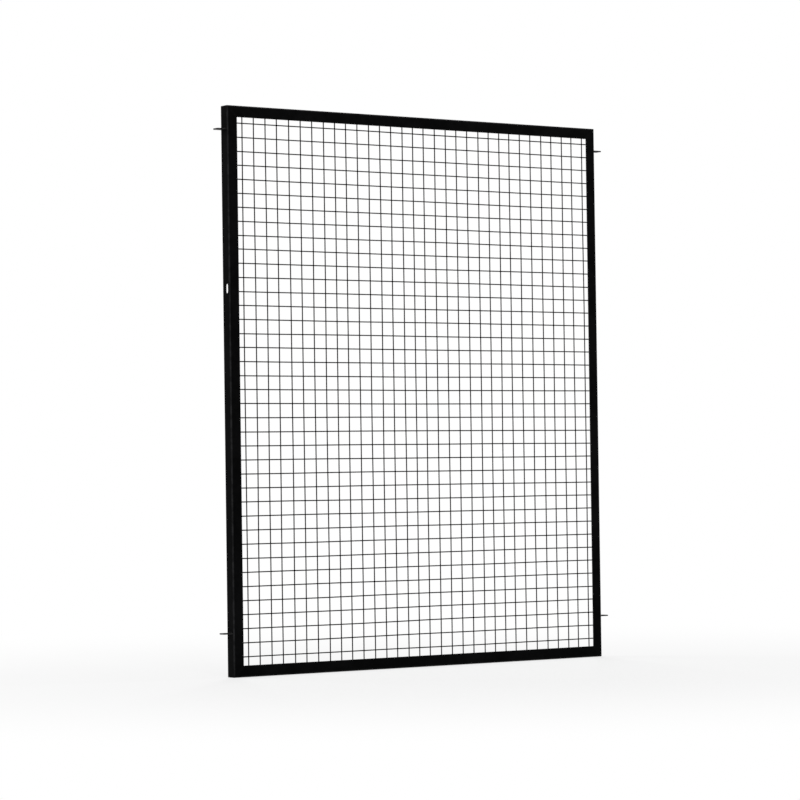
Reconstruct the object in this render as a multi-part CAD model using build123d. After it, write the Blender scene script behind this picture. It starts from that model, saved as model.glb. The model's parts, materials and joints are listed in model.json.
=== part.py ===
from build123d import *
import math
import os

# Perimeter guard panel: a mitred frame of formed steel angle, four lugs and a welded wire mesh.
# Millimetres. +X is the right seen from the front, -Y is the front and +Z is up.
# The origin is the middle of the frame's underside, halfway through its depth.

# Frame
panel_width = 1276.35
panel_height = 1549.4
face_leg = 31.75
outer_leg = 31.75
angle_thickness = 3.175
bend_inside_radius = 1.9
leg_tip_radius = 0.8
frame_corner_radius = 3.0

# Mesh
wire_pitch = 38.1
wire_diameter = 3.2
first_upright = 17.8
first_level = 15.6
wire_end_clearance = 0.6
wire_seat_clearance = 0.02
wire_end_chamfer = 0.3

# Lugs
lug_length = 28.575
lug_width = 25.4
lug_thickness = 3.175
lug_corner_radius = 4.0
lug_hole_diameter = 11.1
lug_hole_reach = 14.3
upper_lug_drop = 63.5
lower_lug_rise = 117.5

# Bolt slots in the outer legs of the stiles
slot_width = 11.9
slot_height = 27.0
slot_drop = 497.5
slot_setback = 12.7

# Level wires that share one node
levels_per_bundle = 3

# Places worked out from the sizes above
half_width = panel_width / 2
front_y = -outer_leg / 2
upright_y = front_y + angle_thickness + wire_seat_clearance + wire_diameter / 2
level_y = upright_y + wire_seat_clearance + wire_diameter
wire_end_inset = angle_thickness + bend_inside_radius + wire_end_clearance
slot_cut = 2 * angle_thickness


def rounded_at(face, place, radius):
    """The face with its corner nearest to the place rounded off."""
    return fillet(face.vertices().sort_by_distance(place)[0], radius)


def angle_section():
    """The angle's section: local x runs in from the outer face, local y back from the front face."""
    section = make_face(
        Polyline(
            (0, 0),
            (face_leg, 0),
            (face_leg, angle_thickness),
            (angle_thickness, angle_thickness),
            (angle_thickness, outer_leg),
            (0, outer_leg),
            close=True,
        )
    )
    section = rounded_at(section, (0, 0), bend_inside_radius + angle_thickness)
    section = rounded_at(section, (angle_thickness, angle_thickness), bend_inside_radius)
    for tip in (
        (face_leg, 0),
        (face_leg, angle_thickness),
        (angle_thickness, outer_leg),
        (0, outer_leg),
    ):
        section = rounded_at(section, tip, leg_tip_radius)
    return section


def mitre_outline(length):
    """A member's outline seen from the front: 45 degree mitres, with the tips on the corner radius."""
    half = length / 2
    on_mitre = frame_corner_radius * (1 - math.sqrt(0.5))
    centre = (half - frame_corner_radius, frame_corner_radius)
    lower = Line((frame_corner_radius - half, 0), (half - frame_corner_radius, 0))
    right_tip = CenterArc(centre, frame_corner_radius, -90, 45)
    right_mitre = Line((half - on_mitre, on_mitre), (half - face_leg, face_leg))
    upper = Line((half - face_leg, face_leg), (face_leg - half, face_leg))
    left_mitre = Line((face_leg - half, face_leg), (on_mitre - half, on_mitre))
    left_tip = CenterArc((-centre[0], centre[1]), frame_corner_radius, -135, 45)
    return make_face([lower, right_tip, right_mitre, upper, left_mitre, left_tip])


def frame_member(length):
    """A mitred length of angle along X, with its outer face down at Z = 0 and its front at front_y."""
    section_plane = Plane(origin=(0, front_y, 0), x_dir=(0, 0, 1), z_dir=(-1, 0, 0))
    bar = extrude(section_plane * angle_section(), amount=length / 2, both=True)
    outline_plane = Plane(origin=(0, 0, 0), x_dir=(1, 0, 0), z_dir=(0, -1, 0))
    return bar & extrude(outline_plane * mitre_outline(length), amount=outer_leg, both=True)


def bolt_slot(side):
    """The cutter for the upright slot in a stile's outer leg. side is -1 on the left, 1 on the right."""
    place = (side * half_width, front_y + slot_setback, panel_height - slot_drop)
    slot_plane = Plane(origin=place, x_dir=(0, 0, 1), z_dir=(1, 0, 0))
    return extrude(slot_plane * SlotOverall(slot_height, slot_width), amount=slot_cut, both=True)


def stile(side):
    """An upright of the frame, turned so that its outer face is on the given side."""
    upright = Pos(side * half_width, 0, panel_height / 2) * Rot(0, -90 * side, 0)
    return upright * frame_member(panel_height) - bolt_slot(side)


def lug(side, underside):
    """A level plate welded by its root to a stile's outer face, with one bolt hole."""
    plate = Pos(lug_length / 2, 0) * Rectangle(lug_length, lug_width)
    for edge in (-1, 1):
        plate = rounded_at(plate, (lug_length, edge * lug_width / 2), lug_corner_radius)
    plate -= Pos(lug_hole_reach, 0) * Circle(lug_hole_diameter / 2)
    turned = Pos(side * half_width, 0, underside) * Rot(0, 0, 90 - 90 * side)
    return turned * extrude(plate, amount=lug_thickness)


def wire_places(first, lowest, highest):
    """Every place on the pitch through the first wire where a whole wire fits between two limits."""
    wires_before = math.floor((first - lowest - wire_diameter / 2) / wire_pitch)
    start = first - wires_before * wire_pitch
    wires_after = math.floor((highest - wire_diameter / 2 - start) / wire_pitch)
    return [start + step * wire_pitch for step in range(wires_after + 1)]


def wire(length):
    """A straight round wire along Z about the origin, with its cut ends broken."""
    rod = Cylinder(wire_diameter / 2, length)
    return chamfer(rod.edges().filter_by(GeomType.CIRCLE), wire_end_chamfer)


def upright_wires():
    """The mesh's front layer, from left to right."""
    rod = wire(panel_height - 2 * wire_end_inset)
    first = face_leg + first_upright - half_width
    places = wire_places(first, wire_end_inset - half_width, half_width - wire_end_inset)
    return [Pos(x, upright_y, panel_height / 2) * rod for x in places]


def level_wires():
    """The mesh's back layer, from the bottom up."""
    rod = Rot(0, 90, 0) * wire(panel_width - 2 * wire_end_inset)
    first = panel_height - face_leg - first_level
    places = wire_places(first, wire_end_inset, panel_height - wire_end_inset)
    return [Pos(0, level_y, z) * rod for z in places]


def frame_and_lugs():
    """The four angles and the four lugs by node name."""
    upper_underside = panel_height - upper_lug_drop - lug_thickness
    rail = frame_member(panel_width)
    return {
        "left_stile": stile(-1),
        "right_stile": stile(1),
        "top_rail": Pos(0, 0, panel_height) * Rot(0, 180, 0) * rail,
        "bottom_rail": rail,
        "upper_left_lug": lug(-1, upper_underside),
        "upper_right_lug": lug(1, upper_underside),
        "lower_left_lug": lug(-1, lower_lug_rise),
        "lower_right_lug": lug(1, lower_lug_rise),
    }


def mesh_wires():
    """Each upright wire as its own node, and the level wires in bundles of neighbours."""
    nodes = {}
    for number, rod in enumerate(upright_wires(), start=1):
        nodes[f"upright_wire_{number:02d}"] = rod
    levels = level_wires()
    for start in range(0, len(levels), levels_per_bundle):
        number = start // levels_per_bundle + 1
        nodes[f"level_wires_{number:02d}"] = Compound(children=levels[start:start + levels_per_bundle])
    return nodes


os.makedirs("parts", exist_ok=True)
for node, shape in {**frame_and_lugs(), **mesh_wires()}.items():
    export_step(shape, f"parts/{node}.step")
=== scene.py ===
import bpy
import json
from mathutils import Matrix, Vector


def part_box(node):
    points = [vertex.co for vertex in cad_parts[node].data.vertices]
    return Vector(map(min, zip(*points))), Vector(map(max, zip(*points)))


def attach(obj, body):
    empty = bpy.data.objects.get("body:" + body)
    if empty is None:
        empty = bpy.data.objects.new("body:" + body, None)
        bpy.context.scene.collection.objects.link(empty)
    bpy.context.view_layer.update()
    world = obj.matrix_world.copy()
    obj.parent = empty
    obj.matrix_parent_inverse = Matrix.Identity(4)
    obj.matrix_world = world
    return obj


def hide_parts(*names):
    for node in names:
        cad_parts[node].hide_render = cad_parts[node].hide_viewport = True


bl_info = {
    "name": "Perimeter guard panel",
    "version": (1, 0, 0),
    "blender": (4, 5, 0),
    "location": "View3D > Sidebar > Guard panel",
    "description": "Coats and welds a wire mesh guard panel and sets it in a plain studio",
    "category": "Object",
}

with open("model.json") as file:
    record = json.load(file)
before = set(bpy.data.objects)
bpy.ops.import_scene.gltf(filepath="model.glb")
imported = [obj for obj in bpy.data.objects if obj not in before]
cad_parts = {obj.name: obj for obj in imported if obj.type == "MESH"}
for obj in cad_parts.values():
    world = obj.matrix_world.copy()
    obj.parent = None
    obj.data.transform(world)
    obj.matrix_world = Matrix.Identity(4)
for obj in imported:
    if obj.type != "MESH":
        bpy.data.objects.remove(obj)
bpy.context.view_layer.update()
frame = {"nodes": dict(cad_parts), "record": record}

import json
import math
import random

import bmesh
import bpy
from bpy.props import FloatProperty, FloatVectorProperty, IntProperty, PointerProperty
from mathutils import Matrix, Vector

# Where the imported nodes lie, in metres
MM = 0.001
ROOT = "root"
RAIL_LOW, RAIL_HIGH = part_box("bottom_rail")
HALF_WIDTH = -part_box("left_stile")[0].x
PANEL_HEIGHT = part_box("top_rail")[1].z
FACE_LEG = RAIL_HIGH.z - RAIL_LOW.z
FRONT_Y = RAIL_LOW.y
REAR_Y = RAIL_HIGH.y
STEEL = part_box("upper_left_lug")[1].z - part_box("upper_left_lug")[0].z
SEAT_Y = FRONT_Y + STEEL
FRAME_NODES = ("left_stile", "right_stile", "top_rail", "bottom_rail")
LUG_NODES = ("upper_left_lug", "upper_right_lug", "lower_left_lug", "lower_right_lug")
UPRIGHT_NODES = sorted(name for name in frame["nodes"] if name.startswith("upright_wire"))
LEVEL_NODES = sorted(name for name in frame["nodes"] if name.startswith("level_wires"))
WIRE_LOW, WIRE_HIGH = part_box(UPRIGHT_NODES[0])
WIRE_DIAMETER = WIRE_HIGH.x - WIRE_LOW.x
MOUNTS = {mount["name"]: mount for mount in frame["record"]["mounts"]}
LUG_HOLE = MOUNTS["upper_left_lug_hole"]

# Rounded heel of the angles: on it, the depths from the two outer faces add up to less than its reach
BEND_RADIUS = 5.1 * MM
HEEL_REACH = 0.6 * BEND_RADIUS

# Make-up of the coat: shares of its patterns, and the limits between which a pattern fades in
CHALK_FROM_CLOUDS = 0.5
CHALK_FROM_STREAKS = 0.3
# The peel's share paints a mottling at the size of the orange peel into the colour: a painted sheen of the
# peel
PEEL_SHEEN_IN_CHALK = 0.2
CHALK_LIMITS = (0.38, 0.64)
CHALK_ROUGHENS = 0.10
STREAKS_SMOOTH = 0.06
GRAIN_SIZE = 0.3
GRAIN_HEIGHT = 0.10
LOOKING_UP_LIMITS = (0.6, 0.98)
DUST_EVERYWHERE = 0.10
DUST_ON_CHALK = 0.16
DUST_IN_GRAINS = 0.14
DUST_GRAIN_LIMITS = (0.5, 0.8)
# Thin coat along the edges: a lighter colour that is partly the real thin coat and partly a painted
# highlight on the heel and the free edges
THIN_HIGHLIGHT_EVERYWHERE = 0.35
THIN_HIGHLIGHT_IN_STREAKS = 0.45
THIN_HIGHLIGHT_STREAK_LIMITS = (0.35, 0.65)
THIN_SMOOTHS = 0.08
EDGE_CORE = 0.2
GROUND_FADES = 0.35
GROUND_ROUGHENS = 0.07
GROUND_FLATTENS = 0.5
GROUND_LIMITS = (0.3, 0.5)
SUNK_DARKENS = 0.8
SUNK_SMOOTHS = 0.10
SUNK_DEPTH = 1.5
SUNK_LIMITS = (0.15, 0.5)
MITRE_FADE = 1 * MM
BUMP_STRENGTH = 0.6

# The wires: the largest error against the usual one, the spread of the two waves, and the turns
# at which a rounded end has a ring, in degrees
LARGEST_STRAY = 2.0
WAVE_SHARES = (1.0, 0.45)
WAVE_HEIGHTS = (0.4, 1.2)
WAVE_LENGTHS = (0.8, 1.25)
END_TURNS = (0.0, 45.0, 90.0)

# Shape of a weld bead: how full it starts, the ripples it takes to fill, and its waves
BEAD_START = 0.12
BEAD_FILL = 1.3
BEAD_TROUGH = 0.93
BEAD_RISE = 0.11
BEAD_WAVE_POWER = 0.6
BEAD_SPREAD = (0.97, 1.03)
BEAD_BULGE = 0.9
RINGS_PER_RIPPLE = 5
FEWEST_RINGS = 6
FILLET_STEPS = 5
CAP_STEPS = 6
FILLET_SUNK = 0.3 * MM
CAP_SUNK = 0.2 * MM

# Where the beads start and stop, and the spread of the nuggets and tacks
LUG_BEAD_INSET = 0.8 * MM
CORNER_BEAD_FRONT = 2.5 * MM
CORNER_BEAD_REAR = 1.2 * MM
SEAM_START = 17 * MM
SEAM_END = 1.5 * MM
NUGGET_RINGS = ((-1.0, 0.45), (-0.5, 0.9), (0.0, 1.0), (0.5, 0.9), (1.0, 0.45))
NUGGET_SIDES = 8
NUGGET_REACHES = (0.92, 1.08)
NUGGET_DEPTHS = (0.9, 1.1)
RAIL_TACK_PLACE = 0.72 * FACE_LEG
TACK_FOOT = 0.36 * WIRE_DIAMETER
TACK_LENGTHS = (0.85, 1.15)
TACK_SHIFT = 1.5 * MM

# Camera and floor
SENSOR_WIDTH = 36.0
FAR_CLIP = 200
SHADOW_CORE = 0.25

# Sockets of the Mix node for colours, whose names it shares with its other kinds
MIX_FACTOR = 0
MIX_FIRST = 6
MIX_SECOND = 7
MIX_RESULT = 2


def upright_places():
    """The X of every upright wire's axis, from left to right."""
    places = []
    for name in UPRIGHT_NODES:
        low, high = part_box(name)
        places.append((low.x + high.x) / 2)
    return places


def level_places():
    """The Z of every level wire's axis, from the bottom up: the wires of a bundle are a pitch apart."""
    uprights = upright_places()
    pitch = uprights[1] - uprights[0]
    places = []
    for name in LEVEL_NODES:
        low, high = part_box(name)
        wires = round((high.z - low.z - WIRE_DIAMETER) / pitch) + 1
        places += [low.z + WIRE_DIAMETER / 2 + step * pitch for step in range(wires)]
    return places


# Settings that a user would change
class CoatSettings(bpy.types.PropertyGroup):
    """Colours and grain of the black powder coat."""

    black: FloatVectorProperty(
        name="Black", description="Colour of the clean coat", subtype="COLOR",
        size=3, min=0, max=1, default=(0.0019, 0.0019, 0.0020),
    )
    # Faded black is random chalky tone, and through the peel's share also a painted sheen of the orange
    # peel
    faded: FloatVectorProperty(
        name="Faded black", description="Colour where the coat is chalky", subtype="COLOR",
        size=3, min=0, max=1, default=(0.0042, 0.0042, 0.0044),
    )
    # Thin coat: lighter than the black, partly as the real thin coat and partly as a painted highlight
    # along the edges
    thin: FloatVectorProperty(
        name="Thin coat", description="Colour where the coat is drawn thin over an edge", subtype="COLOR",
        size=3, min=0, max=1, default=(0.028, 0.028, 0.029),
    )
    dust: FloatVectorProperty(
        name="Dust", description="Colour of the dust on faces that look up", subtype="COLOR",
        size=3, min=0, max=1, default=(0.034, 0.033, 0.031),
    )
    roughness: FloatProperty(
        name="Roughness", description="Roughness of the clean coat", subtype="FACTOR",
        min=0, max=1, default=0.30,
    )
    shine: FloatProperty(
        name="Specular level", description="How much the coat mirrors", subtype="FACTOR",
        min=0, max=1, default=0.007,
    )
    dulling: FloatProperty(
        name="Dulling", description="Roughness that settled dust adds to faces that look up",
        subtype="FACTOR", min=0, max=1, default=0.28,
    )
    cloud_size: FloatProperty(
        name="Cloud size", description="Width of the soft patches of gloss and chalk", unit="LENGTH",
        default=110 * MM,
    )
    streak_size: FloatProperty(
        name="Streak size", description="Width of the finer unevenness in the patches", unit="LENGTH",
        default=18 * MM,
    )
    peel_size: FloatProperty(
        name="Peel size", description="Width of one hump of the orange peel", unit="LENGTH",
        default=1.8 * MM,
    )
    peel_depth: FloatProperty(
        name="Peel depth", description="Depth of the orange peel", unit="LENGTH",
        default=0.10 * MM,
    )
    # The band of the thin coat, which also carries the painted highlight along the edges
    edge_width: FloatProperty(
        name="Edge width", description="Width of the thin coat along an edge", unit="LENGTH",
        default=1.3 * MM,
    )
    seam_width: FloatProperty(
        name="Seam width", description="Width of the sunk line where two mitres meet", unit="LENGTH",
        default=0.9 * MM,
    )
    ground_width: FloatProperty(
        name="Ground width", description="Width of the band ground smooth along a mitre", unit="LENGTH",
        default=9 * MM,
    )


class MeshSettings(bpy.types.PropertyGroup):
    """How unevenly the wires lie, and how finely they are drawn."""

    upright_stray: FloatProperty(
        name="Upright stray", description="Usual error in the place of an upright wire", unit="LENGTH",
        default=0.8 * MM,
    )
    level_stray: FloatProperty(
        name="Level stray", description="Usual error in the place of a level wire", unit="LENGTH",
        default=0.2 * MM,
    )
    bow: FloatProperty(
        name="Bow", description="Height of the slow waves along a wire", unit="LENGTH",
        default=0.5 * MM,
    )
    bow_length: FloatProperty(
        name="Bow length", description="Length of the slow waves along a wire", unit="LENGTH",
        default=1200 * MM,
    )
    end_round: FloatProperty(
        name="End rounding", description="Radius that the coat gives to a wire's cut ends", unit="LENGTH",
        default=0.5 * MM,
    )
    ring_step: FloatProperty(
        name="Ring step", description="Distance between the rings that a wire is drawn from", unit="LENGTH",
        default=38 * MM,
    )
    sides: IntProperty(
        name="Sides", description="Sides of a wire's round section", min=6, default=12,
    )
    seed: IntProperty(
        name="Seed", description="Seed for the unevenness of the wires", default=11,
    )


class WeldSettings(bpy.types.PropertyGroup):
    """Sizes of the weld beads, nuggets and tacks."""

    lug_leg: FloatProperty(
        name="Lug bead", description="Leg of the fillet beads at the roots of the lugs", unit="LENGTH",
        default=2.6 * MM,
    )
    mitre_leg: FloatProperty(
        name="Mitre bead", description="Leg of the fillet beads inside the corners", unit="LENGTH",
        default=3.2 * MM,
    )
    seam_width: FloatProperty(
        name="Seam width", description="Width of the beads along the backs of the mitres", unit="LENGTH",
        default=5.5 * MM,
    )
    seam_height: FloatProperty(
        name="Seam height", description="Height of the beads along the backs of the mitres", unit="LENGTH",
        default=1.1 * MM,
    )
    ripple: FloatProperty(
        name="Ripple", description="Length of one ripple of a bead", unit="LENGTH",
        default=2.2 * MM,
    )
    nugget_reach: FloatProperty(
        name="Nugget reach", description="How far a crossing's weld spreads from its middle", unit="LENGTH",
        default=0.66 * WIRE_DIAMETER,
    )
    nugget_depth: FloatProperty(
        name="Nugget depth", description="Half the depth of a crossing's weld", unit="LENGTH",
        default=0.30 * WIRE_DIAMETER,
    )
    tack_length: FloatProperty(
        name="Tack length", description="Length of the tacks between mesh and frame", unit="LENGTH",
        default=9 * MM,
    )
    tack_leg: FloatProperty(
        name="Tack leg", description="Leg of the tacks between mesh and frame", unit="LENGTH",
        default=2.0 * MM,
    )
    seed: IntProperty(
        name="Seed", description="Seed for the unevenness of the welds", default=7,
    )


class StageSettings(bpy.types.PropertyGroup):
    """The photograph's camera, the floor and the lamps."""

    camera_place: FloatVectorProperty(
        name="Camera place", description="Where the lens stands", subtype="TRANSLATION",
        size=3, default=(-5.2134, -7.2294, 0.5554),
    )
    camera_turn: FloatProperty(
        name="Turn", description="Turn of the view about the upright axis", subtype="ANGLE",
        default=math.radians(-35.454),
    )
    camera_tilt: FloatProperty(
        name="Tilt", description="Tilt of the view above the level", subtype="ANGLE",
        default=math.radians(1.263),
    )
    camera_roll: FloatProperty(
        name="Roll", description="Roll of the camera", subtype="ANGLE",
        default=math.radians(-0.799),
    )
    lens: FloatProperty(
        name="Lens", description="Focal length in millimetres on a sensor of 36 mm", default=142.13,
    )
    floor_size: FloatProperty(
        name="Floor size", description="Side of the square floor", unit="LENGTH", default=80,
    )
    floor_colour: FloatVectorProperty(
        name="Floor colour", description="Colour of the plain floor", subtype="COLOR",
        size=3, min=0, max=1, default=(0.6, 0.6, 0.6),
    )
    floor_glow: FloatProperty(
        name="Floor glow", description="Share of plain white in what the camera sees of the floor",
        subtype="FACTOR", min=0, max=1, default=0.7,
    )
    shadow_reach: FloatProperty(
        name="Shadow reach", description="How far from the panel the floor shows its shading",
        unit="LENGTH", default=2.6,
    )
    ambient: FloatProperty(
        name="Ambient", description="Strength of the even light from all round", default=0.40,
    )
    key_place: FloatVectorProperty(
        name="Key lamp", description="Where the key lamp hangs", subtype="TRANSLATION",
        size=3, default=(-5.6, -7.4, 2.2),
    )
    key_power: FloatProperty(
        name="Key power", description="Power of the key lamp", unit="POWER", default=100,
    )
    side_place: FloatVectorProperty(
        name="Side lamp", description="Where the side lamp hangs", subtype="TRANSLATION",
        size=3, default=(6.5, -2.6, 4.2),
    )
    side_power: FloatProperty(
        name="Side power", description="Power of the side lamp", unit="POWER", default=160,
    )
    back_right_place: FloatVectorProperty(
        name="Back right lamp", description="Where the back right lamp hangs", subtype="TRANSLATION",
        size=3, default=(3.2, 5.2, 5.4),
    )
    back_right_power: FloatProperty(
        name="Back right power", description="Power of the back right lamp", unit="POWER", default=440,
    )
    back_left_place: FloatVectorProperty(
        name="Back left lamp", description="Where the back left lamp hangs", subtype="TRANSLATION",
        size=3, default=(-3.2, 5.2, 5.4),
    )
    back_left_power: FloatProperty(
        name="Back left power", description="Power of the back left lamp", unit="POWER", default=240,
    )
    fill_place: FloatVectorProperty(
        name="Fill lamp", description="Where the fill lamp hangs", subtype="TRANSLATION",
        size=3, default=(-2.5, -5.5, 5.6),
    )
    fill_power: FloatProperty(
        name="Fill power", description="Power of the fill lamp", unit="POWER", default=120,
    )
    lamp_size: FloatProperty(
        name="Lamp size", description="Side of the lamps in front", unit="LENGTH", default=1.8,
    )
    back_size: FloatProperty(
        name="Back lamp size", description="Side of the lamps at the back", unit="LENGTH", default=2.8,
    )


# Shader maths
class Signal:
    """A shader socket that takes part in Python sums. Each sum adds a Math node."""

    def __init__(self, tree, socket):
        self.tree = tree
        self.socket = socket

    def math(self, operation, *values):
        node = self.tree.nodes.new("ShaderNodeMath")
        node.operation = operation
        for socket, value in zip(node.inputs, values):
            plug(self.tree, socket, value)
        return Signal(self.tree, node.outputs[0])

    def __add__(self, other):
        return self.math("ADD", self, other)

    def __sub__(self, other):
        return self.math("SUBTRACT", self, other)

    def __mul__(self, other):
        return self.math("MULTIPLY", self, other)

    def __pow__(self, other):
        return self.math("POWER", self, other)

    def __radd__(self, other):
        return self.math("ADD", other, self)

    def __rsub__(self, other):
        return self.math("SUBTRACT", other, self)

    def __rmul__(self, other):
        return self.math("MULTIPLY", other, self)

    def __abs__(self):
        return self.math("ABSOLUTE", self)

    def least(self, other):
        return self.math("MINIMUM", self, other)

    def most(self, other):
        return self.math("MAXIMUM", self, other)


def plug(tree, socket, value):
    """Links a signal to a socket, or sets the socket to a plain value."""
    if isinstance(value, Signal):
        tree.links.new(value.socket, socket)
    else:
        socket.default_value = value


class Finish:
    """A node tree under construction."""

    def __init__(self, tree):
        self.tree = tree
        tree.nodes.clear()

    def node(self, kind, settings=None, sockets=None, output=0):
        """Adds a node of a kind: its settings first, then the values or links of its sockets."""
        made = self.tree.nodes.new(kind)
        for name, value in (settings or {}).items():
            setattr(made, name, value)
        for key, value in (sockets or {}).items():
            plug(self.tree, made.inputs[key], value)
        return Signal(self.tree, made.outputs[output]) if made.outputs else None

    def noise(self, place, size, detail=2.0, roughness=0.5):
        """Smooth noise from 0 to 1 whose humps are about the given size in metres."""
        sockets = {"Vector": place, "Scale": 1 / size, "Detail": detail, "Roughness": roughness}
        return self.node("ShaderNodeTexNoise", {"normalize": True}, sockets)

    def ramp(self, value, low, high):
        """0 below low, 1 above high and smooth between them."""
        sockets = {"Value": value, "From Min": low, "From Max": high}
        return self.node("ShaderNodeMapRange", {"interpolation_type": "SMOOTHSTEP"}, sockets)

    def blend(self, factor, first, second):
        """One colour turning into another. A colour is a signal or three numbers."""
        sockets = {MIX_FACTOR: factor, MIX_FIRST: opaque(first), MIX_SECOND: opaque(second)}
        return self.node("ShaderNodeMix", {"data_type": "RGBA"}, sockets, MIX_RESULT)

    def axes(self, vector):
        """The three numbers of a vector."""
        split = self.node("ShaderNodeSeparateXYZ", None, {"Vector": vector})
        outputs = split.socket.node.outputs
        return [Signal(self.tree, socket) for socket in outputs]


def opaque(colour):
    """A colour property as the four numbers that a colour socket takes. A signal is left as it is."""
    return colour if isinstance(colour, Signal) else (*colour, 1.0)


def powder_coat(name, peel_share=1.0, edges=None, seams=None):
    """Black powder coat: orange peel with a painted sheen in its colour, cloudy gloss, a film of dust on
    top, and a thin coat at the edges whose lighter colour is partly a painted highlight.
    """
    coat = bpy.context.scene.guard_coat
    material = bpy.data.materials.new(name)
    material.use_nodes = True
    finish = Finish(material.node_tree)
    place = finish.node("ShaderNodeTexCoord", output="Object")
    normal = finish.node("ShaderNodeNewGeometry", output="Normal")
    facing_up = finish.axes(normal)[2]

    clouds = finish.noise(place, coat.cloud_size, detail=3.0)
    streaks = finish.noise(place, coat.streak_size, detail=4.0, roughness=0.6)
    peel = finish.noise(place, coat.peel_size, detail=1.0, roughness=0.4)
    grains = finish.noise(place, GRAIN_SIZE * coat.peel_size, detail=1.0)

    # The chalky patches are random tone, plus the orange peel's share, which is a painted sheen of the peel
    # in the colour
    patches = clouds * CHALK_FROM_CLOUDS + streaks * CHALK_FROM_STREAKS + peel * PEEL_SHEEN_IN_CHALK
    chalk = finish.ramp(patches, *CHALK_LIMITS)
    settled = finish.ramp(facing_up, *LOOKING_UP_LIMITS)
    specks = finish.ramp(grains, *DUST_GRAIN_LIMITS)
    film = settled * (DUST_EVERYWHERE + chalk * DUST_ON_CHALK + specks * DUST_IN_GRAINS)
    colour = finish.blend(chalk, coat.black, coat.faded)
    colour = finish.blend(film, colour, coat.dust)
    roughness = coat.roughness + chalk * CHALK_ROUGHENS + settled * coat.dulling - streaks * STREAKS_SMOOTH
    height = peel * peel_share + grains * GRAIN_HEIGHT
    # Lighter along the edges: partly the real thin coat, partly a painted highlight
    if edges:
        uneven = finish.ramp(streaks, *THIN_HIGHLIGHT_STREAK_LIMITS)
        thin = edges(finish, place) * (THIN_HIGHLIGHT_EVERYWHERE + uneven * THIN_HIGHLIGHT_IN_STREAKS)
        colour = finish.blend(thin, colour, coat.thin)
        roughness = roughness - thin * THIN_SMOOTHS
    if seams:
        sunk, ground = seams(finish, place)
        colour = finish.blend(ground * GROUND_FADES, colour, coat.faded)
        colour = finish.blend(sunk * SUNK_DARKENS, colour, coat.black)
        roughness = roughness + ground * GROUND_ROUGHENS - sunk * SUNK_SMOOTHS
        height = height * (1 - ground * GROUND_FLATTENS) - sunk * SUNK_DEPTH

    bump = {"Strength": BUMP_STRENGTH, "Distance": coat.peel_depth, "Height": height}
    sockets = {
        "Base Color": colour,
        "Roughness": roughness,
        "Specular IOR Level": coat.shine,
        "Normal": finish.node("ShaderNodeBump", None, bump),
    }
    shader = finish.node("ShaderNodeBsdfPrincipled", None, sockets)
    finish.node("ShaderNodeOutputMaterial", None, {"Surface": shader})
    return material


def frame_edges(finish, place):
    """1 on the bend and on the two free edges of the angles, 0 on their flats: where the thin coat and its
    painted highlight go.
    """
    coat = bpy.context.scene.guard_coat
    x, y, z = finish.axes(place)
    inward = (HALF_WIDTH - abs(x)).least(z).least(PANEL_HEIGHT - z)
    back = y - FRONT_Y
    bend = (inward + back) - HEEL_REACH
    inner_edge = abs(inward - FACE_LEG)
    rear_edge = abs(back - (REAR_Y - FRONT_Y))
    nearest = bend.most(0.0).least(inner_edge).least(rear_edge)
    return 1 - finish.ramp(nearest, EDGE_CORE * coat.edge_width, coat.edge_width)


def frame_seams(finish, place):
    """The sunk line along each mitre, and the band beside it where the weld was ground smooth."""
    coat = bpy.context.scene.guard_coat
    x, y, z = finish.axes(place)
    from_side = HALF_WIDTH - abs(x)
    from_end = z.least(PANEL_HEIGHT - z)
    across = abs(from_side - from_end) * math.sqrt(0.5)
    in_corner = 1 - finish.ramp(from_side.most(from_end), FACE_LEG, FACE_LEG + MITRE_FADE)
    sunk = 1 - finish.ramp(across, *(coat.seam_width * limit for limit in SUNK_LIMITS))
    ground = 1 - finish.ramp(across, *(coat.ground_width * limit for limit in GROUND_LIMITS))
    return sunk * in_corner, ground * in_corner


def lug_edges(finish, place):
    """1 on the rim of a lug and round its hole, 0 on its flats: where the thin coat and its painted
    highlight go.
    """
    coat = bpy.context.scene.guard_coat
    low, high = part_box(LUG_NODES[0])
    x, y, z = finish.axes(place)
    to_side = high.y - abs(y)
    to_tip = -low.x - abs(x)
    along = abs(x) - abs(LUG_HOLE["pos_m"][0])
    to_hole = (along * along + y * y) ** 0.5 - LUG_HOLE["dims"]["r_mm"] * MM
    nearest = to_side.least(to_tip).least(to_hole)
    return 1 - finish.ramp(nearest, EDGE_CORE * coat.edge_width, coat.edge_width)


def dress(names, material):
    """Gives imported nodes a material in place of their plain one."""
    for name in names:
        for slot in frame["nodes"][name].material_slots:
            slot.material = material


# Lines of the wires
class WireLine:
    """Where a wire lies across the mesh: an even place, one error along its length and two slow waves."""

    def __init__(self, place, stray, freedom, rng):
        mesh = bpy.context.scene.guard_mesh
        error = min(LARGEST_STRAY, max(-LARGEST_STRAY, rng.gauss(0, 1)))
        self.place = place + error * stray * freedom
        self.waves = []
        for share in WAVE_SHARES:
            height = share * mesh.bow * freedom * rng.uniform(*WAVE_HEIGHTS)
            length = share * mesh.bow_length * rng.uniform(*WAVE_LENGTHS)
            self.waves.append((height, length, rng.uniform(0, 2 * math.pi)))

    def at(self, along):
        """The wire's place across the mesh at a place along the wire."""
        place = self.place
        for height, length, phase in self.waves:
            place += height * math.sin(2 * math.pi * along / length + phase)
        return place


def wire_lines(places, stray, rng):
    """The lines of one layer of wires. The outermost two are held straight by the frame."""
    ends = (places[0], places[-1])
    return [WireLine(place, stray, 0.0 if place in ends else 1.0, rng) for place in places]


def upright_lines():
    """The lines of the upright wires: each gives its X at a height."""
    mesh = bpy.context.scene.guard_mesh
    return wire_lines(upright_places(), mesh.upright_stray, random.Random(mesh.seed))


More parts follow.
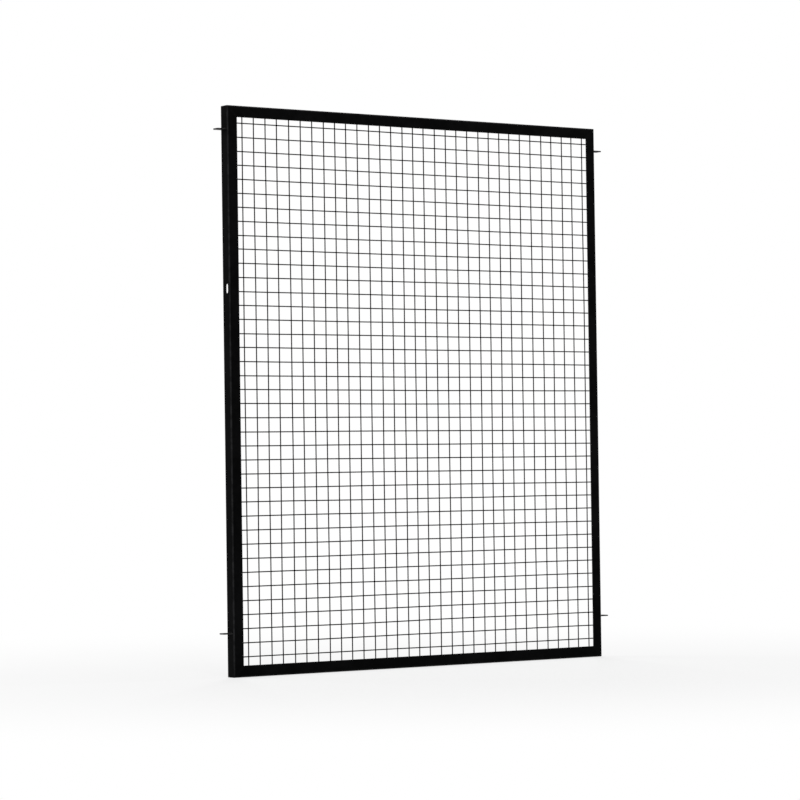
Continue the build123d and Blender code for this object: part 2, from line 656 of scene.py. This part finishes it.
def level_lines():
    """The lines of the level wires: each gives its Z at a place across the panel."""
    mesh = bpy.context.scene.guard_mesh
    return wire_lines(level_places(), mesh.level_stray, random.Random(mesh.seed + 1))


# Mesh helpers
def piece_from(bm, name, material):
    """A finished piece from a bmesh: shaded smooth, riding on the panel's one body."""
    bmesh.ops.recalc_face_normals(bm, faces=bm.faces[:])
    mesh = bpy.data.meshes.new(name)
    bm.to_mesh(mesh)
    bm.free()
    mesh.shade_smooth()
    mesh.materials.append(material)
    piece = bpy.data.objects.new(name, mesh)
    bpy.context.scene.collection.objects.link(piece)
    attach(piece, ROOT)
    return piece


def loft(bm, rings):
    """A closed solid through rings of points that have equal counts."""
    rows = [[bm.verts.new(point) for point in ring] for ring in rings]
    count = len(rows[0])
    for row, following in zip(rows, rows[1:]):
        for step in range(count):
            after = (step + 1) % count
            bm.faces.new((row[step], row[after], following[after], following[step]))
    bm.faces.new(rows[0])
    bm.faces.new(rows[-1])


def swell(along, length, ripple, phase):
    """How full a bead is at a place along it: it tapers at both ends and rises at each ripple."""
    ripples_in = max(0.0, min(along, length - along) / ripple)
    taper = math.sqrt(min(1.0, BEAD_START + (1 - BEAD_START) * ripples_in / BEAD_FILL))
    wave = ((along + phase) / ripple) % 1.0
    return taper * (BEAD_TROUGH + BEAD_RISE * math.sin(math.pi * wave) ** BEAD_WAVE_POWER)


def bead_steps(length):
    """How many steps a bead of a length is drawn in."""
    ripple = bpy.context.scene.guard_weld.ripple
    return max(FEWEST_RINGS, round(length / (ripple / RINGS_PER_RIPPLE)))


def fillet_bead(bm, start, end, first_face, second_face, leg, rng):
    """A rippled bead in the corner of two faces. Each face is given by a unit vector along it."""
    weld = bpy.context.scene.guard_weld
    run = end - start
    steps = bead_steps(run.length)
    phase = rng.uniform(0, weld.ripple)
    bulge = (first_face + second_face).normalized()
    sunk = -FILLET_SUNK * bulge
    rings = []
    for step in range(steps + 1):
        along = run.length * step / steps
        size = leg * swell(along, run.length, weld.ripple, phase) * rng.uniform(*BEAD_SPREAD)
        corner = start + run * (step / steps)
        ring = [corner + sunk]
        for part in (count / FILLET_STEPS for count in range(FILLET_STEPS + 1)):
            toe = first_face * (1 - part) + second_face * part
            round_out = bulge * (BEAD_BULGE * part * (1 - part))
            ring.append(corner + (toe + round_out) * size)
        rings.append(ring)
    loft(bm, rings)


def cap_bead(bm, start, end, out, width, height, rng):
    """A rippled bead lying on one face, whose outward unit vector is given."""
    weld = bpy.context.scene.guard_weld
    run = end - start
    across = run.normalized().cross(out)
    steps = bead_steps(run.length)
    phase = rng.uniform(0, weld.ripple)
    rings = []
    for step in range(steps + 1):
        along = run.length * step / steps
        full = swell(along, run.length, weld.ripple, phase) * rng.uniform(*BEAD_SPREAD)
        middle = start + run * (step / steps) - out * CAP_SUNK
        ring = [middle]
        for turn in (math.pi * count / CAP_STEPS for count in range(CAP_STEPS + 1)):
            side = across * (math.cos(turn) * width / 2 * full)
            rise = out * (math.sin(turn) * (height + CAP_SUNK) * full)
            ring.append(middle + side + rise)
        rings.append(ring)
    loft(bm, rings)


# Operators: the coat and the wires
class GUARD_OT_coat_frame(bpy.types.Operator):
    """Coat the four angles of the frame"""

    bl_idname = "guard.coat_frame"
    bl_label = "Coat the frame"

    def execute(self, context):
        dress(FRAME_NODES, powder_coat("frame_powder_coat", edges=frame_edges, seams=frame_seams))
        return {"FINISHED"}


class GUARD_OT_coat_lugs(bpy.types.Operator):
    """Coat the four lugs"""

    bl_idname = "guard.coat_lugs"
    bl_label = "Coat the lugs"

    def execute(self, context):
        dress(LUG_NODES, powder_coat("lug_powder_coat", edges=lug_edges))
        return {"FINISHED"}


class GUARD_OT_draw_wires(bpy.types.Operator):
    """Draw the wires as they lie in the mesh: a little uneven, and rounded by the coat at their cut ends"""

    bl_idname = "guard.draw_wires"
    bl_label = "Draw the wires"

    def execute(self, context):
        coat = powder_coat("wire_powder_coat", peel_share=0.6)
        sideways = Vector((1, 0, 0))
        upward = Vector((0, 0, 1))
        self.lay("coated_upright_wires", UPRIGHT_NODES, upright_lines(), upward, sideways, coat)
        self.lay("coated_level_wires", LEVEL_NODES, level_lines(), sideways, upward, coat)
        return {"FINISHED"}

    def lay(self, name, nodes, lines, along, across, coat):
        """One layer of wires as one piece, which stands for the layer's nodes."""
        low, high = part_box(nodes[0])
        back = Vector((0, 1, 0))
        depth = back * (low.y + high.y) / 2
        bm = bmesh.new()
        for line in lines:
            rings = []
            for place, radius in self.stops(low.dot(along), high.dot(along)):
                middle = along * place + across * line.at(place) + depth
                rings.append(self.ring(middle, across * radius, back * radius))
            loft(bm, rings)
        piece = piece_from(bm, name, coat)
        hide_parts(*nodes)

    def stops(self, start, end):
        """Each place along a wire that has a ring, with the ring's radius: the ends are rounded."""
        mesh = bpy.context.scene.guard_mesh
        radius = WIRE_DIAMETER / 2
        steps = round((end - start) / mesh.ring_step)
        middle = [(start + (end - start) * step / steps, radius) for step in range(1, steps)]
        rounding = []
        for turn in END_TURNS:
            inset = mesh.end_round * (1 - math.cos(math.radians(turn)))
            shrink = mesh.end_round * (1 - math.sin(math.radians(turn)))
            rounding.append((inset, radius - shrink))
        first = [(start + inset, size) for inset, size in rounding]
        last = [(end - inset, size) for inset, size in reversed(rounding)]
        return first + middle + last

    def ring(self, middle, across, back):
        """Points round a wire's section, whose two half widths are given as vectors."""
        sides = bpy.context.scene.guard_mesh.sides
        turns = [2 * math.pi * corner / sides for corner in range(sides)]
        return [middle + across * math.cos(turn) + back * math.sin(turn) for turn in turns]


# Operators: the welds
class GUARD_OT_weld_lugs(bpy.types.Operator):
    """Run a fillet bead along the top and the underside of each lug's root"""

    bl_idname = "guard.weld_lugs"
    bl_label = "Weld the lugs"

    def execute(self, context):
        weld = context.scene.guard_weld
        rng = random.Random(weld.seed)
        bm = bmesh.new()
        for name in LUG_NODES:
            low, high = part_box(name)
            side = math.copysign(1.0, low.x)
            out = Vector((side, 0, 0))
            inset = Vector((0, LUG_BEAD_INSET, 0))
            for z, up in ((high.z, 1), (low.z, -1)):
                start = Vector((side * HALF_WIDTH, low.y, z)) + inset
                end = Vector((side * HALF_WIDTH, high.y, z)) - inset
                fillet_bead(bm, start, end, out, Vector((0, 0, up)), weld.lug_leg, rng)
        piece_from(bm, "lug_weld_beads", powder_coat("lug_weld_coat", peel_share=0.5))
        return {"FINISHED"}


class GUARD_OT_weld_mitres(bpy.types.Operator):
    """Weld the four mitres inside the corners, where the beads are left as run"""

    bl_idname = "guard.weld_mitres"
    bl_label = "Weld the mitres"

    def execute(self, context):
        weld = context.scene.guard_weld
        rng = random.Random(weld.seed + 1)
        bm = bmesh.new()
        back = Vector((0, 1, 0))
        for side in (-1, 1):
            for foot, up in ((0.0, 1), (PANEL_HEIGHT, -1)):
                corner = Vector((side * HALF_WIDTH, 0, foot))
                inward = Vector((-side, 0, 0))
                upward = Vector((0, 0, up))
                heel = corner + (inward + upward) * STEEL
                start = heel + back * (SEAT_Y + CORNER_BEAD_FRONT)
                end = heel + back * (REAR_Y - CORNER_BEAD_REAR)
                fillet_bead(bm, start, end, inward, upward, weld.mitre_leg, rng)
                outer = corner + (inward + upward) * SEAM_START + back * SEAT_Y
                inner = corner + (inward + upward) * (FACE_LEG - SEAM_END) + back * SEAT_Y
                cap_bead(bm, outer, inner, back, weld.seam_width, weld.seam_height, rng)
        piece_from(bm, "mitre_weld_beads", powder_coat("mitre_weld_coat", peel_share=0.5))
        return {"FINISHED"}


class GUARD_OT_weld_crossings(bpy.types.Operator):
    """Fuse the wires at every crossing of the mesh"""

    bl_idname = "guard.weld_crossings"
    bl_label = "Weld the crossings"

    def execute(self, context):
        weld = context.scene.guard_weld
        rng = random.Random(weld.seed + 2)
        middle_y = WIRE_HIGH.y
        bm = bmesh.new()
        levels = list(zip(level_places(), level_lines()))
        for even_x, upright in zip(upright_places(), upright_lines()):
            for even_z, level in levels:
                x = upright.at(even_z)
                z = level.at(even_x)
                reach = weld.nugget_reach * rng.uniform(*NUGGET_REACHES)
                depth = weld.nugget_depth * rng.uniform(*NUGGET_DEPTHS)
                start_turn = rng.uniform(0, 2 * math.pi)
                rings = []
                for rise, spread in NUGGET_RINGS:
                    ring = []
                    for corner in range(NUGGET_SIDES):
                        turn = start_turn + 2 * math.pi * corner / NUGGET_SIDES
                        across = reach * spread * math.cos(turn)
                        along = reach * spread * math.sin(turn)
                        ring.append((x + across, middle_y + rise * depth, z + along))
                    rings.append(ring)
                loft(bm, rings)
        piece_from(bm, "crossing_welds", powder_coat("crossing_weld_coat", peel_share=0.4))
        return {"FINISHED"}


class GUARD_OT_tack_mesh(bpy.types.Operator):
    """Tack the mesh to the backs of the rails and stiles"""

    bl_idname = "guard.tack_mesh"
    bl_label = "Tack the mesh to the frame"

    def execute(self, context):
        weld = context.scene.guard_weld
        rng = random.Random(weld.seed + 3)
        bm = bmesh.new()
        back = Vector((0, 1, 0))
        uprights = upright_lines()
        levels = level_places()
        for number, line in enumerate(uprights[1:-1]):
            for middle in (RAIL_TACK_PLACE, PANEL_HEIGHT - RAIL_TACK_PLACE):
                self.tack(bm, line.at(middle), middle, (-1) ** number, back, rng)
        for line in (uprights[0], uprights[-1]):
            inside = -math.copysign(1.0, line.place)
            for lower, upper in list(zip(levels, levels[1:]))[1:-1:2]:
                middle = (lower + upper) / 2
                self.tack(bm, line.at(middle), middle, inside, back, rng)
        piece_from(bm, "mesh_tack_welds", powder_coat("tack_weld_coat", peel_share=0.5))
        return {"FINISHED"}

    def tack(self, bm, x, middle, side, back, rng):
        """One short bead beside an upright wire, on the side given as 1 or -1."""
        weld = bpy.context.scene.guard_weld
        half = weld.tack_length / 2 * rng.uniform(*TACK_LENGTHS)
        shift = rng.uniform(-TACK_SHIFT, TACK_SHIFT)
        foot = x + side * TACK_FOOT
        start = Vector((foot, SEAT_Y, middle + shift - half))
        end = Vector((foot, SEAT_Y, middle + shift + half))
        fillet_bead(bm, start, end, Vector((side, 0, 0)), back, weld.tack_leg, rng)


# Operators: the stage
class GUARD_OT_set_stage(bpy.types.Operator):
    """Lay the floor, light the panel and place the photograph's camera"""

    bl_idname = "guard.set_stage"
    bl_label = "Set the stage"

    def execute(self, context):
        stage = context.scene.guard_stage
        self.lay_floor(stage)
        self.light_world(stage)
        self.hang_lamp("key_lamp", stage.key_place, stage.lamp_size, stage.key_power)
        self.hang_lamp("side_lamp", stage.side_place, stage.lamp_size, stage.side_power)
        self.hang_lamp("back_right_lamp", stage.back_right_place, stage.back_size, stage.back_right_power)
        self.hang_lamp("back_left_lamp", stage.back_left_place, stage.back_size, stage.back_left_power)
        self.hang_lamp("fill_lamp", stage.fill_place, stage.lamp_size, stage.fill_power)
        self.place_camera(stage)
        context.scene.view_settings.view_transform = "Standard"
        return {"FINISHED"}

    def lay_floor(self, stage):
        """A wide plain floor that keeps the shadow and reads white to the camera."""
        half = stage.floor_size / 2
        mesh = bpy.data.meshes.new("floor")
        corners = [(-half, -half, 0), (half, -half, 0), (half, half, 0), (-half, half, 0)]
        mesh.from_pydata(corners, [], [(0, 1, 2, 3)])
        floor = bpy.data.objects.new("floor", mesh)
        bpy.context.scene.collection.objects.link(floor)
        material = bpy.data.materials.new("plain_floor")
        material.use_nodes = True
        finish = Finish(material.node_tree)
        matt = finish.node("ShaderNodeBsdfDiffuse", None, {"Color": opaque(stage.floor_colour)})
        white = finish.node("ShaderNodeEmission", None, {"Color": (1, 1, 1, 1), "Strength": 1.0})
        place = finish.node("ShaderNodeTexCoord", output="Object")
        span = finish.node("ShaderNodeVectorMath", {"operation": "LENGTH"}, {0: place}, "Value")
        far = finish.ramp(span, SHADOW_CORE * stage.shadow_reach, stage.shadow_reach)
        seen = self.background_rays(finish) * (stage.floor_glow + far * (1 - stage.floor_glow))
        shader = finish.node("ShaderNodeMixShader", None, {0: seen, 1: matt, 2: white})
        finish.node("ShaderNodeOutputMaterial", None, {"Surface": shader})
        mesh.materials.append(material)

    def background_rays(self, finish):
        """1 for rays that show the background: from the camera, a mirror or a glass."""
        rays = finish.node("ShaderNodeLightPath").socket.node.outputs
        camera = Signal(finish.tree, rays["Is Camera Ray"])
        glossy = Signal(finish.tree, rays["Is Glossy Ray"])
        through = Signal(finish.tree, rays["Is Transmission Ray"])
        return camera.most(glossy).most(through)

    def light_world(self, stage):
        """Even light from all round, and a white background."""
        world = bpy.data.worlds.new("studio")
        world.use_nodes = True
        finish = Finish(world.node_tree)
        seen = self.background_rays(finish)
        strength = stage.ambient + seen * (1 - stage.ambient)
        light = finish.node("ShaderNodeBackground", None, {"Color": (1, 1, 1, 1), "Strength": strength})
        finish.node("ShaderNodeOutputWorld", None, {"Surface": light})
        bpy.context.scene.world = world

    def hang_lamp(self, name, place, size, power):
        """A soft square lamp that faces the middle of the panel and stays out of the picture."""
        data = bpy.data.lights.new(name, "AREA")
        data.shape = "SQUARE"
        data.size = size
        data.energy = power
        lamp = bpy.data.objects.new(name, data)
        lamp.location = place
        aim = Vector((0, 0, PANEL_HEIGHT / 2)) - lamp.location
        lamp.rotation_euler = aim.to_track_quat("-Z", "Y").to_euler()
        lamp.visible_camera = False
        bpy.context.scene.collection.objects.link(lamp)

    def place_camera(self, stage):
        """The photograph's camera, whose frame is square."""
        data = bpy.data.cameras.new("photo_camera")
        data.sensor_width = SENSOR_WIDTH
        data.lens = stage.lens
        camera = bpy.data.objects.new("photo_camera", data)
        turn = Matrix.Rotation(stage.camera_turn, 4, "Z")
        tilt = Matrix.Rotation(math.pi / 2 + stage.camera_tilt, 4, "X")
        roll = Matrix.Rotation(stage.camera_roll, 4, "Z")
        camera.matrix_world = Matrix.Translation(stage.camera_place) @ turn @ tilt @ roll
        data.clip_end = FAR_CLIP
        bpy.context.scene.collection.objects.link(camera)
        bpy.context.scene.camera = camera


STEPS = (
    GUARD_OT_coat_frame,
    GUARD_OT_coat_lugs,
    GUARD_OT_draw_wires,
    GUARD_OT_weld_lugs,
    GUARD_OT_weld_mitres,
    GUARD_OT_weld_crossings,
    GUARD_OT_tack_mesh,
    GUARD_OT_set_stage,
)


class GUARD_PT_sidebar(bpy.types.Panel):
    """The steps that dress the panel, in order, with their settings"""

    bl_idname = "GUARD_PT_sidebar"
    bl_label = "Guard panel"
    bl_space_type = "VIEW_3D"
    bl_region_type = "UI"
    bl_category = "Guard panel"

    def draw(self, context):
        for step in STEPS:
            self.layout.operator(step.bl_idname)
        for group in SETTINGS:
            settings = getattr(context.scene, group)
            box = self.layout.box()
            for name in settings.bl_rna.properties.keys():
                if name not in ("rna_type", "name"):
                    box.prop(settings, name)


SETTINGS = {
    "guard_coat": CoatSettings,
    "guard_mesh": MeshSettings,
    "guard_weld": WeldSettings,
    "guard_stage": StageSettings,
}


def register():
    for group in SETTINGS.values():
        bpy.utils.register_class(group)
    for name, group in SETTINGS.items():
        setattr(bpy.types.Scene, name, PointerProperty(type=group))
    for step in STEPS:
        bpy.utils.register_class(step)
    bpy.utils.register_class(GUARD_PT_sidebar)


def unregister():
    bpy.utils.unregister_class(GUARD_PT_sidebar)
    for step in reversed(STEPS):
        bpy.utils.unregister_class(step)
    for name, group in SETTINGS.items():
        delattr(bpy.types.Scene, name)
        bpy.utils.unregister_class(group)


def main():
    register()
    bpy.ops.guard.coat_frame()
    bpy.ops.guard.coat_lugs()
    bpy.ops.guard.draw_wires()
    bpy.ops.guard.weld_lugs()
    bpy.ops.guard.weld_mitres()
    bpy.ops.guard.weld_crossings()
    bpy.ops.guard.tack_mesh()
    bpy.ops.guard.set_stage()


if __name__ == "__main__":
    main()
